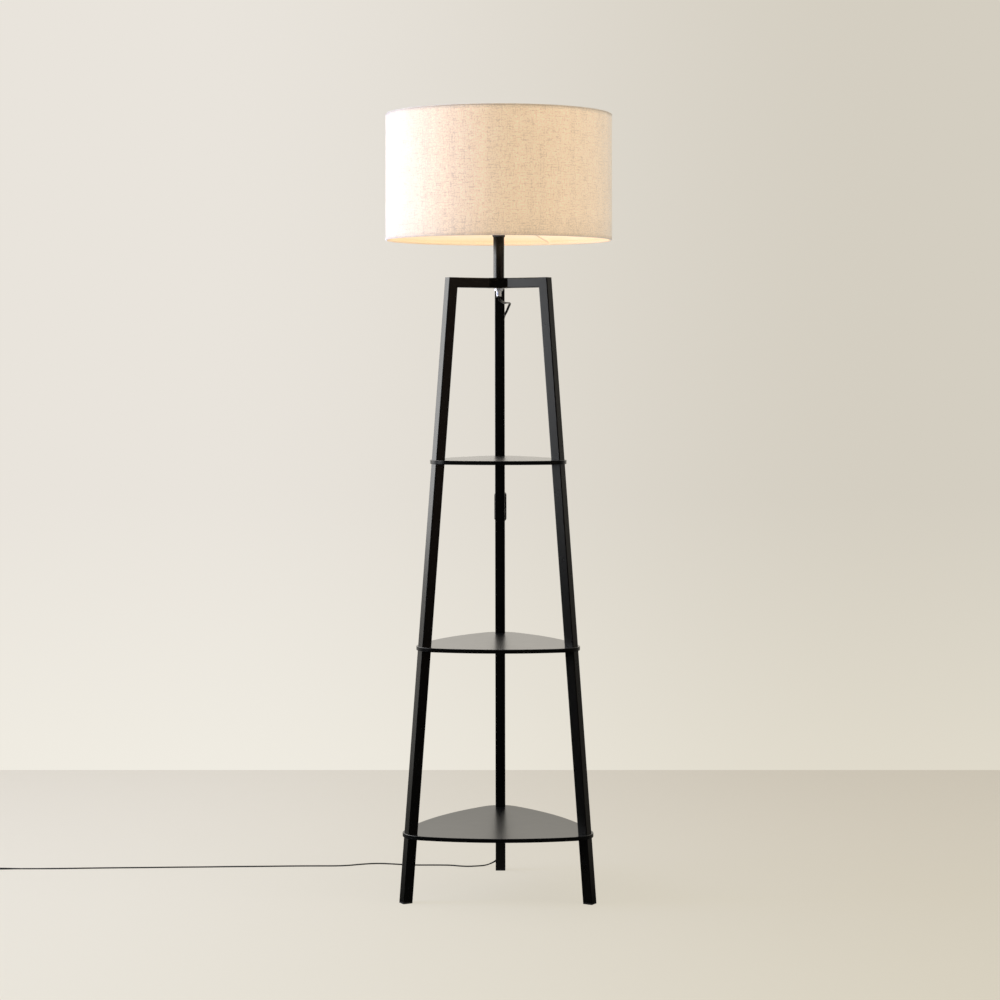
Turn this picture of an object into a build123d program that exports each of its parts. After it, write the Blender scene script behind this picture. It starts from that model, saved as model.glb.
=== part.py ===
from build123d import *
import math
import os

# Shelf floor lamp. Millimetres, +Z up. The origin is on the floor, on the lamp's axis.
# The front is -Y. The three legs stand at LEG_ANGLES, the rear one on +Y.

# ---------------------------------------------------------------- frame
frame_height = 1217.5
leg_foot_radius = 206.4
leg_top_radius = 105.5
tube_side = 20.0
tube_wall = 1.2
tube_corner = 1.8
hub_front_width = 36.0
hub_edge_radius = 0.8
foot_pad_thickness = 3.0
foot_plug_depth = 14.0
leg_cap_thickness = 2.0
end_plug_depth = 16.0
stud_diameter = 8.0
stud_depth = 12.0
stud_hole_clearance = 0.25

LEG_ANGLES = {"left": 210, "right": 330, "rear": 90}
SECTION_NAMES = ("foot", "lower", "upper", "top")

# ---------------------------------------------------------------- shelves
shelf_thickness = 8.0
shelf_edge_round = 1.0
shelf_corner_radius = 48.0
shelf_past_leg = 12.0
SHELF_NAMES = ("lower", "middle", "upper")
shelf_tops = (133.7, 495.7, 859.3)
shelf_side_radii = (530.0, 430.0, 330.0)

# ---------------------------------------------------------------- post and threaded tubes
post_diameter = 22.0
post_wall = 1.5
post_length = 86.5
post_seat_depth = 5.0
bush_length = 12.0
nipple_diameter = 10.0
nipple_bore = 7.6
nipple_below_hub = 16.0
nipple_into_holder = 8.0
nut_across_flats = 15.0
nut_thickness = 4.0
washer_diameter = 17.0
washer_thickness = 1.0
washer_notches = 8
washer_notch_width = 1.6
washer_notch_depth = 1.8

# ---------------------------------------------------------------- lamp holder
holder_foot_radius = 12.2
holder_base_radius = 19.0
holder_base_height = 25.0
holder_base_floor = 5.0
holder_foot_height = 4.0
holder_foot_flare = 0.6
holder_shoulder_height = 11.0
holder_shoulder_inset = 1.5
holder_straight_from = 14.0
holder_wall = 1.8
spigot_wall = 1.2
holder_skirt_radius = 19.6
holder_skirt_height = 44.0
holder_skirt_wall = 1.8
holder_flange_radius = 22.0
holder_flange_thickness = 2.5
holder_flange_top = 42.0
holder_mouth_radius = 15.2
holder_lip = 2.0
spigot_depth = 4.0
insert_bottom = 27.0
insert_disc_height = 11.0
insert_sleeve_height = 26.0
insert_sleeve_wall = 1.6
shell_inner_radius = 13.6
shell_wall = 0.5
contact_strip_width = 5.0
contact_strip_thickness = 0.5
contact_strip_fixed_end = 11.0
contact_strip_bend = 5.5
contact_strip_flat_from = 3.0
contact_strip_free_end = 4.5
contact_strip_rise = 3.6
terminal_screw_offset = 9.0
terminal_head_radius = 2.8
terminal_head_height = 2.0
terminal_shank_radius = 1.6
terminal_shank_length = 7.0

# ---------------------------------------------------------------- clamping ring of the shade
ring_outer_radius = 24.5
ring_grip_radius = 23.2
ring_thread_clearance = 0.3
ring_height = 9.0
ring_collar_height = 2.0
ring_grip_notches = 24
ring_notch_radius = 0.8

# ---------------------------------------------------------------- bulb
bulb_radius = 30.0
bulb_length = 106.0
bulb_cap_radius = 13.15
bulb_cap_length = 22.0
bulb_cap_wall = 0.5
bulb_rib_pitch = 3.6
bulb_rib_depth = 0.7
bulb_plain_length = 2.0
bulb_bead_height = 2.0
bulb_bead_over_glass = 1.5
bulb_glass_seat = 1.0
bulb_seat_clearance = 0.25
bulb_insulator_height = 2.6
bulb_tip_height = 1.2
bulb_tip_radius = 4.5
bulb_glass_wall = 0.8
bulb_neck_radius = 12.6
bulb_tip_round = 0.8
bulb_tip_gap = 0.3
BULB_FLANK = ((3.2, 14.0), (11.0, 32.0))
stem_length = 26.0
stem_flare_height = 1.2
STEM_PROFILE = ((3.2, 6.0), (2.4, 26.0))
filament_span = 20.0
filament_rise = 14.0
filament_foot = 1.2
filament_bend_radius = 1.5
filament_wire = 0.8

# ---------------------------------------------------------------- shade
shade_diameter = 450.0
shade_height = 250.0
shade_below_fitter = 49.0
cover_thickness = 0.8
liner_thickness = 0.6
rim_wire = 3.2
hem_round = 2.2
fitter_plate_thickness = 1.6
fitter_outer_radius = 29.0
fitter_clearance = 0.7
SPIDER_ANGLES = (63.5, 183.5, 303.5)

# ---------------------------------------------------------------- cord
cord_diameter = 4.0
core_diameter = 1.6
core_spread = 1.0
cord_split_above_nipple = 4.0
cord_switch_lead = 40.0
coil_radius = 31.3
coil_pitch = 4.6
coil_turns = 3.25
coil_reverse_at = 1.625
coil_start_across = -1076.0
coil_start_back = -21.4

# ---------------------------------------------------------------- inline switch
switch_centre_height = 752.8
switch_side_shift = 0.5
switch_length = 68.0
switch_width = 24.6
switch_end_width = 11.0
switch_straight = 50.0
switch_back_thickness = 8.5
switch_front_thickness = 8.5
switch_wall = 1.6
switch_gap_to_leg = 0.3
switch_corner = 1.5
rocker_width = 10.0
rocker_radius = 9.0
rocker_gap = 0.35
rocker_pivot_depth = 4.5
rocker_rise = 1.6
rocker_tilt = 8.0
trunnion_radius = 1.5
trunnion_length = 1.4
trunnion_clearance = 0.06
switch_screw_radius = 1.25
switch_screw_head_radius = 2.2
switch_screw_head_height = 1.6
switch_boss_radius = 2.6
switch_boss_inset = 0.5
switch_screw_stop = 3.0
cheek_depth = 3.0
cheek_wall = 1.0
rocker_skirt_depth = 2.5
rocker_keel_depth = 4.2
terminal_block = (6.0, 4.5, 7.0)
terminal_clamp_side = 2.4
terminal_clamp_height = 1.0
terminal_from_middle = 22.0
bridge_size = (4.0, 0.8, 36.0)
SWITCH_SCREWS = ((8.0, 22.0), (-8.0, -22.0))

# ---------------------------------------------------------------- plug
plug_thickness = 13.7
plug_face_width = 26.0
plug_wide_width = 35.3
plug_rear_width = 12.0
plug_length = 36.0
plug_wide_at = 12.0
plug_edge_round = 2.0
pin_spacing = 19.0
pin_radius = 2.0
pin_core_radius = 1.2
pin_sleeve_radius = 1.9
pin_length = 19.0
pin_sleeve_length = 10.0
pin_embed = 10.0
relief_length = 25.0
relief_thin_radius = 2.7
relief_thick_radius = 5.0
relief_grooves = 5
relief_groove_width = 1.6
relief_groove_depth = 0.8

# ---------------------------------------------------------------- worked-out values
leg_lean = (leg_foot_radius - leg_top_radius) / frame_height
lean_length = math.sqrt(1 + leg_lean**2)
arm_bottom = frame_height - tube_side
hub_arm_face = (hub_front_width / 2 + tube_side / 4) / math.cos(math.radians(30))
post_bottom = frame_height - post_seat_depth
post_top = post_bottom + post_length
nipple_bottom = arm_bottom - nipple_below_hub
holder_bottom = post_top
skirt_bottom = holder_bottom + holder_base_height
skirt_top = skirt_bottom + holder_skirt_height
flange_top = holder_bottom + holder_flange_top
disc_bottom = holder_bottom + insert_bottom
disc_top = disc_bottom + insert_disc_height
terminal_bottom = disc_bottom - terminal_head_height
contact_top = disc_top + contact_strip_rise
bulb_tip = contact_top + bulb_tip_gap
tip_top = bulb_tip + bulb_tip_height
cap_bottom = tip_top + bulb_insulator_height
cap_top = cap_bottom + bulb_cap_length
fitter_top = flange_top + fitter_plate_thickness
shade_radius = shade_diameter / 2
shade_bottom = flange_top - shade_below_fitter
shade_top = shade_bottom + shade_height
rim_radius = shade_radius - cover_thickness - liner_thickness - rim_wire / 2
rim_inset = cover_thickness + rim_wire / 2
hem_width = 2 * cover_thickness + liner_thickness + rim_wire
hem_depth = cover_thickness + rim_wire
layer_one = cord_diameter / 2
layer_two = plug_thickness / 2
coil_start = (coil_start_across, leg_foot_radius + coil_start_back)
coil_centre = (coil_start[0] - cord_diameter, coil_start[1] - coil_radius)

# The cord's route, chosen by hand: from the threaded tube under the hub, round the rear
# leg's right side and down its back to the switch, then on down to the floor and away to
# the left, to the coil.
# Each point is (across, back from the lamp's axis, down from the frame's top).
CORD_ROUND_LEG = (
    (0.0, 0.0, 43.0),
    (4.5, 11.0, 48.5),
    (12.0, 34.0, 47.5),
    (18.5, 60.0, 46.5),
    (22.5, 88.0, 47.5),
    (19.5, 112.0, 54.0),
    (13.2, 126.5, 65.0),
    (7.5, 131.5, 82.0),
    (4.5, 133.0, 106.0),
)
# Each point is (across, off the leg's back face, share of the way up to the point above).
CORD_TO_SWITCH = (
    (3.2, 8.4, 0.880),
    (2.0, 7.0, 0.720),
    (1.0, 5.9, 0.560),
    (2.0, 5.9, 0.400),
    (3.2, 7.5, 0.230),
    (1.8, 7.9, 0.088),
)
# Each point is (across, off the leg's back face, height).
CORD_FROM_SWITCH = (
    (2.0, 8.5, 628.0),
    (3.5, 7.0, 570.0),
    (3.0, 8.1, 518.0),
    (1.2, 8.4, 466.0),
    (0.0, 6.9, 408.0),
    (-1.5, 6.5, 350.0),
    (-2.2, 7.1, 292.0),
    (-1.0, 7.1, 236.0),
    (0.8, 7.3, 184.0),
    (1.6, 8.8, 134.0),
    (0.6, 11.0, 88.0),
    (-0.1, 16.4, 49.3),
    (-3.0, 22.8, 24.2),
    (-16.6, 25.5, 8.9),
)
# Each point is (across, back from the rear foot's axis), on the floor.
CORD_ON_FLOOR = (
    (-31.4, 33.2),
    (-50.5, 28.6),
    (-67.0, 24.6),
    (-85.0, 27.4),
    (-103.0, 36.2),
    (-133.0, 37.2),
    (-178.0, 35.6),
    (-206.0, 40.9),
    (-229.0, 46.6),
    (-252.0, 51.2),
    (-275.0, 48.2),
    (-296.0, 40.0),
    (-317.0, 30.0),
    (-341.0, 24.2),
    (-381.0, 23.8),
    (-436.0, 21.6),
    (-496.0, 17.0),
    (-557.0, 13.8),
    (-617.0, 8.8),
    (-677.0, 5.6),
    (-737.0, 0.8),
    (-797.0, -2.6),
    (-857.0, -7.0),
    (-917.0, -12.6),
    (-975.0, -16.0),
    (-1032.0, -21.4),
)


# ---------------------------------------------------------------- helpers
def save(node, *shapes):
    """Write the solids of the shapes as one node."""
    solids = [solid for shape in shapes for solid in shape.solids()]
    node_shape = solids[0] if len(solids) == 1 else Compound(children=solids)
    export_step(node_shape, f"parts/{node}.step")


def leg_radius(height):
    """How far a leg's axis is from the lamp's axis at this height."""
    return leg_foot_radius - leg_lean * height


def between(low, high):
    """A slab that keeps what lies between two heights."""
    return Pos(0, 0, (low + high) / 2) * Box(1500, 1500, high - low)


def leg_plane(height):
    """A plane square to the leg that leans in the XZ plane, centred on its axis."""
    return Plane((leg_radius(height), 0, height), x_dir=(0, 1, 0), z_dir=(-leg_lean, 0, 1))


def leg_bar(side, corner):
    """A square bar along that leg, longer than the leg."""
    start = -40.0
    length = (frame_height + 80.0) * lean_length
    return extrude(leg_plane(start) * RectangleRounded(side, side, corner), length)


def leg_rod(diameter):
    """A round bar along that leg's axis."""
    length = (frame_height + 80.0) * lean_length
    return extrude(leg_plane(-40.0) * Circle(diameter / 2), length)


def turned(shape, angle):
    """The shape moved round the lamp's axis, from the XZ plane to a leg."""
    return Rot(0, 0, angle) * shape


def ring_body(points):
    """A solid turned about the Z axis from (radius, height) points."""
    outline = make_face(Plane.XZ * Polyline(*points, close=True))
    return revolve(outline, Axis.Z)


def tube_between(outer_radius, inner_radius, low, high):
    """A round tube about the Z axis."""
    return ring_body(
        [(inner_radius, low), (outer_radius, low), (outer_radius, high), (inner_radius, high)]
    )


def rod_between(start, end, radius):
    """A straight round rod between two points."""
    first = Vector(*start)
    way = Vector(*end) - first
    return extrude(Plane(first, z_dir=way) * Circle(radius), way.length)


# ---------------------------------------------------------------- frame pieces
inner_side = tube_side - 2 * tube_wall
inner_corner = tube_corner - tube_wall
outer_bar = leg_bar(tube_side, tube_corner)
inner_bar = leg_bar(inner_side, inner_corner)
leg_walls = outer_bar - inner_bar
stud_rod = leg_rod(stud_diameter)
section_bottoms = (foot_pad_thickness,) + shelf_tops
section_tops = tuple(top - shelf_thickness for top in shelf_tops) + (frame_height,)


def make_legs():
    """Four tube sections to a leg, their end plugs, studs, top caps and foot pads."""
    plugs = []
    studs = []
    for top in shelf_tops:
        bottom = top - shelf_thickness
        rod = stud_rod & between(bottom - stud_depth, top + stud_depth)
        upper_plug = (inner_bar & between(top, top + end_plug_depth)) - rod
        lower_plug = (inner_bar & between(bottom - end_plug_depth, bottom)) - rod
        plugs += [upper_plug, lower_plug]
        studs.append(rod)
    cap = inner_bar & between(frame_height - leg_cap_thickness, frame_height)
    pad = outer_bar & between(0, foot_pad_thickness)
    stem = inner_bar & between(foot_pad_thickness, foot_pad_thickness + foot_plug_depth)
    foot_pad = pad + stem
    for side, angle in LEG_ANGLES.items():
        for name, low, high in zip(SECTION_NAMES, section_bottoms, section_tops):
            save(f"leg_{side}_{name}", turned(leg_walls & between(low, high), angle))
    angles = LEG_ANGLES.values()
    save("leg_end_plugs", *[turned(plug, angle) for plug in plugs for angle in angles])
    save("leg_joint_studs", *[turned(stud, angle) for stud in studs for angle in angles])
    save("leg_top_caps", *[turned(cap, angle) for angle in angles])
    save("foot_pads", *[turned(foot_pad, angle) for angle in angles])


def make_arms():
    """Three square tubes from the hub to the legs' inner faces."""
    middle = frame_height - tube_side / 2
    start = Plane((hub_arm_face, 0, middle), x_dir=(0, 1, 0), z_dir=(1, 0, 0))
    length = leg_radius(middle) - hub_arm_face
    outline = RectangleRounded(tube_side, tube_side, tube_corner)
    bore = RectangleRounded(inner_side, inner_side, inner_corner)
    arm = extrude(start * (outline - bore), length) - outer_bar
    for side, angle in LEG_ANGLES.items():
        save(f"arm_{side}", turned(arm, angle))


def make_hub():
    """The six-sided block that the arms are welded to, with the post's seat in its top."""
    corners = []
    for angle in sorted(LEG_ANGLES.values()):
        for side in (-1, 1):
            corner = Vector(hub_arm_face, side * tube_side / 2, 0).rotate(Axis.Z, angle)
            corners.append((corner.X, corner.Y))
    block = Pos(0, 0, arm_bottom) * extrude(make_face(Polyline(*corners, close=True)), tube_side)
    block = fillet(block.edges().filter_by(Axis.Z), hub_edge_radius)
    seat = Pos(0, 0, post_bottom) * Cylinder(
        post_diameter / 2, post_length, align=(Align.CENTER, Align.CENTER, Align.MIN)
    )
    hole = Pos(0, 0, arm_bottom) * Cylinder(nipple_diameter / 2, 3 * tube_side)
    save("hub", block - seat - hole)


def shelf_outline(tip, side_radius):
    """Three bowed sides joined by tangent corner arcs; tip is a corner's distance out."""
    corner_out = tip - shelf_corner_radius
    reach = side_radius - shelf_corner_radius
    back = (-corner_out + math.sqrt(4 * reach**2 - 3 * corner_out**2)) / 2

    def polar(radius, angle):
        return Vector(radius, 0, 0).rotate(Axis.Z, angle)

    def touch(side_angle, corner_angle):
        middle = polar(-back, side_angle)
        way = polar(corner_out, corner_angle) - middle
        return middle + way.normalized() * side_radius

    edges = []
    for angle in sorted(LEG_ANGLES.values()):
        before = touch(angle - 60, angle)
        after = touch(angle + 60, angle)
        side_middle = polar(side_radius - back, angle + 60)
        edges.append(ThreePointArc(before, polar(tip, angle), after))
        edges.append(ThreePointArc(after, side_middle, touch(angle + 60, angle + 120)))
    return make_face(edges)


def make_shelves():
    """Three boards, clamped between the leg sections, each with a hole for a leg's stud."""
    hole = leg_rod(stud_diameter + 2 * stud_hole_clearance)
    for name, top, side_radius in zip(SHELF_NAMES, shelf_tops, shelf_side_radii):
        bottom = top - shelf_thickness
        tip = leg_radius(top - shelf_thickness / 2) + shelf_past_leg
        board = Pos(0, 0, bottom) * extrude(shelf_outline(tip, side_radius), shelf_thickness)
        rims = board.faces().sort_by(Axis.Z)
        board = fillet(rims[0].edges() + rims[-1].edges(), shelf_edge_round)
        for angle in LEG_ANGLES.values():
            board -= turned(hole, angle)
        save(f"shelf_{name}", board)


# ---------------------------------------------------------------- post pieces
def make_post():
    """The post's tube, its two threaded bushes, the threaded tubes, nut and lock washer."""
    post_bore = post_diameter / 2 - post_wall
    nipple_radius = nipple_diameter / 2
    save("post", tube_between(post_diameter / 2, post_bore, post_bottom, post_top))
    low_bush = tube_between(post_bore, nipple_radius, post_bottom, post_bottom + bush_length)
    high_bush = tube_between(post_bore, nipple_radius, post_top - bush_length, post_top)
    save("post_bushes", low_bush, high_bush)
    bore = nipple_bore / 2
    low_end = post_bottom + bush_length
    save("lower_nipple", tube_between(nipple_radius, bore, nipple_bottom, low_end))
    high_end = holder_bottom + nipple_into_holder
    save("upper_nipple", tube_between(nipple_radius, bore, post_top - bush_length, high_end))

    washer_bottom = arm_bottom - washer_thickness
    washer = tube_between(washer_diameter / 2, nipple_radius, washer_bottom, arm_bottom)
    notch_middle = washer_diameter / 2
    notch = Box(2 * washer_notch_depth, washer_notch_width, 3 * washer_thickness)
    notch = Pos(notch_middle, 0, washer_bottom) * notch
    for index in range(washer_notches):
        washer -= turned(notch, index * 360 / washer_notches)
    save("lock_washer", washer)

    nut_bottom = washer_bottom - nut_thickness
    hexagon = RegularPolygon(nut_across_flats / 2, 6, major_radius=False)
    nut = Pos(0, 0, nut_bottom) * extrude(hexagon - Circle(nipple_radius), nut_thickness)
    corner_radius = nut_across_flats / math.sqrt(3)
    crown = ring_body(
        [
            (0, nut_bottom),
            (nut_across_flats / 2, nut_bottom),
            (corner_radius + 0.5, nut_bottom + 0.7),
            (corner_radius + 0.5, washer_bottom),
            (0, washer_bottom),
        ]
    )
    save("lock_nut", nut & crown)


# ---------------------------------------------------------------- lamp holder
def make_holder():
    """Base, threaded skirt, insulating insert, screw shell, centre contact and screws."""
    nipple_radius = nipple_diameter / 2
    base_bore = holder_base_radius - holder_wall
    shoulder_radius = holder_base_radius - holder_shoulder_inset
    outline = [
        (nipple_radius, holder_bottom),
        (holder_foot_radius, holder_bottom),
        (holder_foot_radius + holder_foot_flare, holder_bottom + holder_foot_height),
        (shoulder_radius, holder_bottom + holder_shoulder_height),
        (holder_base_radius, holder_bottom + holder_straight_from),
        (holder_base_radius, skirt_bottom),
        (base_bore, skirt_bottom),
        (base_bore, holder_bottom + holder_straight_from + 1),
        (holder_foot_radius, holder_bottom + holder_base_floor),
        (nipple_radius, holder_bottom + holder_base_floor),
    ]
    save("holder_base", ring_body(outline))

    bore = holder_skirt_radius - holder_skirt_wall
    spigot_bore = base_bore - spigot_wall
    flange_bottom = flange_top - holder_flange_thickness
    skirt = [
        (spigot_bore, skirt_bottom - spigot_depth),
        (base_bore, skirt_bottom - spigot_depth),
        (base_bore, skirt_bottom),
        (holder_skirt_radius, skirt_bottom),
        (holder_skirt_radius, flange_bottom),
        (holder_flange_radius, flange_bottom),
        (holder_flange_radius, flange_top),
        (holder_skirt_radius, flange_top),
        (holder_skirt_radius, skirt_top),
        (holder_mouth_radius, skirt_top),
        (holder_mouth_radius, skirt_top - holder_lip),
        (bore, skirt_top - holder_lip),
        (bore, disc_bottom),
        (spigot_bore, disc_bottom),
    ]
    save("holder_skirt", ring_body(skirt))

    shell_outer = shell_inner_radius + shell_wall
    sleeve_top = disc_top + insert_sleeve_height
    sleeve_outer = shell_outer + insert_sleeve_wall
    insert = ring_body(
        [
            (0, disc_bottom),
            (bore, disc_bottom),
            (bore, disc_top),
            (sleeve_outer, disc_top),
            (sleeve_outer, sleeve_top),
            (shell_outer, sleeve_top),
            (shell_outer, disc_top),
            (0, disc_top),
        ]
    )
    screws = []
    for side in (-1, 1):
        x = side * terminal_screw_offset
        shank_top = disc_bottom + terminal_shank_length
        head = rod_between((x, 0, terminal_bottom), (x, 0, disc_bottom), terminal_head_radius)
        shank = rod_between((x, 0, terminal_bottom), (x, 0, shank_top), terminal_shank_radius)
        screws.append(head + shank)
        insert -= screws[-1]
    save("holder_insert", insert)
    save("terminal_screws", *screws)
    shell = tube_between(shell_outer, shell_inner_radius, disc_top, sleeve_top)
    save("holder_screw_shell", shell)

    thick = contact_strip_thickness
    strip = Polyline(
        (contact_strip_fixed_end, disc_top),
        (contact_strip_bend, disc_top),
        (-contact_strip_flat_from, contact_top - thick),
        (-contact_strip_free_end, contact_top - thick),
        (-contact_strip_free_end, contact_top),
        (-contact_strip_flat_from, contact_top),
        (contact_strip_bend, disc_top + thick),
        (contact_strip_fixed_end, disc_top + thick),
        close=True,
    )
    contact = extrude(make_face(Plane.XZ * strip), contact_strip_width / 2, both=True)
    save("holder_centre_contact", contact)


def make_clamping_ring():
    """The ring that screws down on the skirt and holds the shade's fitter."""
    bore = holder_skirt_radius + ring_thread_clearance
    collar_top = fitter_top + ring_collar_height
    ring_top = fitter_top + ring_height
    ring = ring_body(
        [
            (bore, fitter_top),
            (ring_outer_radius, fitter_top),
            (ring_outer_radius, collar_top),
            (ring_grip_radius, collar_top),
            (ring_grip_radius, ring_top),
            (bore, ring_top),
        ]
    )
    foot = (ring_grip_radius, 0, collar_top)
    notch = rod_between(foot, (ring_grip_radius, 0, ring_top), ring_notch_radius)
    for index in range(ring_grip_notches):
        ring -= turned(notch, index * 360 / ring_grip_notches)
    save("shade_clamping_ring", ring)


# ---------------------------------------------------------------- bulb
def bulb_outline(shrink):
    """Half of the glass's outline on the XZ plane, drawn in by shrink."""
    centre = bulb_tip + bulb_length - bulb_radius
    radius = bulb_radius - shrink
    neck = bulb_neck_radius - shrink
    flank = Spline(
        (neck, cap_top),
        *[(neck + out, cap_top + up) for out, up in BULB_FLANK],
        (radius, centre),
        tangents=((0, 1), (0, 1)),
    )
    dome = CenterArc((0, centre), radius, 0, 90)
    closing = Polyline((0, centre + radius), (0, cap_top), (neck, cap_top))
    return make_face(Plane.XZ * (flank + dome + closing))


def make_bulb():
    """Frosted glass, stem, filament, ribbed screw cap, insulator and centre tip."""
    glass = revolve(bulb_outline(0), Axis.Z) - revolve(bulb_outline(bulb_glass_wall), Axis.Z)
    save("bulb_glass", glass)

    groove_radius = bulb_cap_radius - bulb_rib_depth
    ribs = []
    count = int((bulb_cap_length - 2 * bulb_plain_length) / bulb_rib_pitch)
    for index in range(count):
        rib = cap_bottom + bulb_plain_length + index * bulb_rib_pitch
        ribs.append((groove_radius, rib))
        ribs.append((bulb_cap_radius, rib + bulb_rib_pitch / 3))
        ribs.append((bulb_cap_radius, rib + bulb_rib_pitch * 2 / 3))
    bead_bore = bulb_neck_radius + bulb_seat_clearance
    neck_bore = bulb_neck_radius - bulb_glass_wall
    bead_bottom = cap_top - bulb_bead_height
    cap = ring_body(
        [
            (groove_radius - bulb_cap_wall, cap_bottom),
            (groove_radius, cap_bottom),
            *ribs,
            (groove_radius, bead_bottom - bulb_glass_seat),
            (bulb_cap_radius, bead_bottom),
            (bulb_cap_radius, cap_top + bulb_bead_over_glass),
            (bead_bore, cap_top + bulb_bead_over_glass),
            (bead_bore, cap_top),
            (neck_bore, cap_top),
            (neck_bore, cap_top - bulb_glass_seat),
            (groove_radius - bulb_cap_wall, bead_bottom - 2 * bulb_glass_seat),
        ]
    )
    save("bulb_cap", cap - glass)
    insulator = ring_body(
        [
            (0, tip_top),
            (bulb_tip_radius, tip_top),
            (groove_radius, cap_bottom),
            (0, cap_bottom),
        ]
    )
    save("bulb_insulator", insulator)
    tip = rod_between((0, 0, bulb_tip), (0, 0, tip_top), bulb_tip_radius)
    save("bulb_tip_contact", fillet(tip.edges().sort_by(Axis.Z)[0], bulb_tip_round))

    stem_top = cap_top + stem_length
    stem = ring_body(
        [
            (0, cap_top),
            (neck_bore, cap_top),
            (neck_bore, cap_top + stem_flare_height),
            *[(radius, cap_top + up) for radius, up in STEM_PROFILE],
            (0, stem_top),
        ]
    )
    half = filament_span / 2
    wire_top = stem_top + filament_rise
    path = FilletPolyline(
        (filament_foot, 0, stem_top),
        (half, 0, wire_top),
        (0, half / 2, wire_top + 1),
        (-half, 0, wire_top),
        (-filament_foot, 0, stem_top),
        radius=filament_bend_radius,
    )
    start = Plane(path @ 0, z_dir=path % 0)
    save("bulb_stem", stem)
    save("bulb_filament", sweep(start * Circle(filament_wire / 2), path) - stem)


# ---------------------------------------------------------------- shade
def band(inner_radius, outer_radius, low, high, corner):
    """A rectangle on the XZ plane with its corners rounded."""
    width = outer_radius - inner_radius
    place = Pos((inner_radius + outer_radius) / 2, (low + high) / 2)
    return place * RectangleRounded(width, high - low, corner)


def make_shade():
    """Linen cover rolled over both rims, liner, two rim wires and the fitter's spider."""
    folded_in = shade_radius - hem_width
    face = band(folded_in, shade_radius, shade_bottom, shade_top, hem_round)
    face -= band(
        folded_in + cover_thickness,
        shade_radius - cover_thickness,
        shade_bottom + cover_thickness,
        shade_top - cover_thickness,
        hem_round - cover_thickness,
    )
    window = shade_height - 2 * hem_depth
    face -= Pos(folded_in, (shade_bottom + shade_top) / 2) * Rectangle(3 * cover_thickness, window)
    save("shade_cover", revolve(Plane.XZ * face, Axis.Z))

    liner_outer = shade_radius - cover_thickness
    liner_gap = hem_round
    save(
        "shade_liner",
        tube_between(
            liner_outer,
            liner_outer - liner_thickness,
            shade_bottom + liner_gap,
            shade_top - liner_gap,
        ),
    )
    low_rim = Pos(0, 0, shade_bottom + rim_inset) * Torus(rim_radius, rim_wire / 2)
    high_rim = Pos(0, 0, shade_top - rim_inset) * Torus(rim_radius, rim_wire / 2)
    save("shade_top_rim", high_rim)
    save("shade_bottom_rim", low_rim)

    wire = rim_wire / 2
    plate = tube_between(
        fitter_outer_radius, holder_skirt_radius + fitter_clearance, flange_top, fitter_top
    )
    arm_start = (fitter_outer_radius - wire, 0, (flange_top + fitter_top) / 2)
    arm_end = (rim_radius + 0.8, 0, shade_bottom + rim_inset + 0.97 * rim_wire)
    arm = rod_between(arm_start, arm_end, wire) - low_rim
    spider = plate
    for angle in SPIDER_ANGLES:
        spider += turned(arm, angle)
    save("shade_spider", spider)


# ---------------------------------------------------------------- cord
def corner_radii(name, points):
    """Each corner's radius: 0.45 of the shorter run over the tangent of half the turn."""
    radii = []
    for before, here, after in zip(points, points[1:], points[2:]):
        run_in = Vector(*here) - Vector(*before)
        run_out = Vector(*after) - Vector(*here)
        turn = run_in.get_angle(run_out)
        shorter = min(run_in.length, run_out.length)
        radii.append(0.45 * shorter / math.tan(math.radians(turn / 2)))
    print(name, "corner radii:", " ".join(f"{radius:.0f}" for radius in radii))
    print(name, "route:", [tuple(round(value, 1) for value in point) for point in points])
    return radii


def cord_tube(name, points):
    """A round tube of straight runs joined by tangent arcs."""
    path = FilletPolyline(*points, radius=corner_radii(name, points))
    tube = sweep(Plane(path @ 0, z_dir=path % 0) * Circle(cord_diameter / 2), path)
    expected = math.pi * cord_diameter**2 / 4 * path.length
    print(name, f"length {path.length:.1f}, volume over section {tube.volume / expected:.5f}")
    return tube, path.length


def coil_point(turn):
    """A point of the coil: spirals in on the floor, climbs a layer, spirals out again."""
    inward = min(turn, coil_reverse_at)
    outward = max(turn - coil_reverse_at, 0)
    radius = coil_radius - coil_pitch * inward + coil_pitch * outward
    climb = min(max((turn - coil_reverse_at) * 2 + 0.5, 0), 1)
    height = layer_one + (layer_two - layer_one) * (1 - math.cos(math.pi * climb)) / 2
    angle = math.radians(90) + 2 * math.pi * turn
    return Vector(
        coil_centre[0] + radius * math.cos(angle),
        coil_centre[1] + radius * math.sin(angle),
        height,
    )


def coil_way(turn):
    """The coil's direction at a point; its ends are square to what they meet."""
    step = 0.001
    if turn < step:
        return Vector(-1, 0, 0)
    if turn > coil_turns - step:
        return Vector(0, -1, 0)
    return (coil_point(turn + step) - coil_point(turn - step)).normalized()


def biarc(start, start_way, end, end_way):
    """Two arcs, tangent to each other and to a direction at each end."""
    chord = end - start
    ways = start_way + end_way
    curve = 2 * (1 - start_way.dot(end_way))
    along = chord.dot(ways)
    reach = (-along + math.sqrt(along**2 + curve * chord.dot(chord))) / curve
    joint = (start + start_way * reach + end - end_way * reach) * 0.5
    first = TangentArc(start, joint, tangent=start_way)
    return [first, TangentArc(joint, end, tangent=first % 1)]


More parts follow.
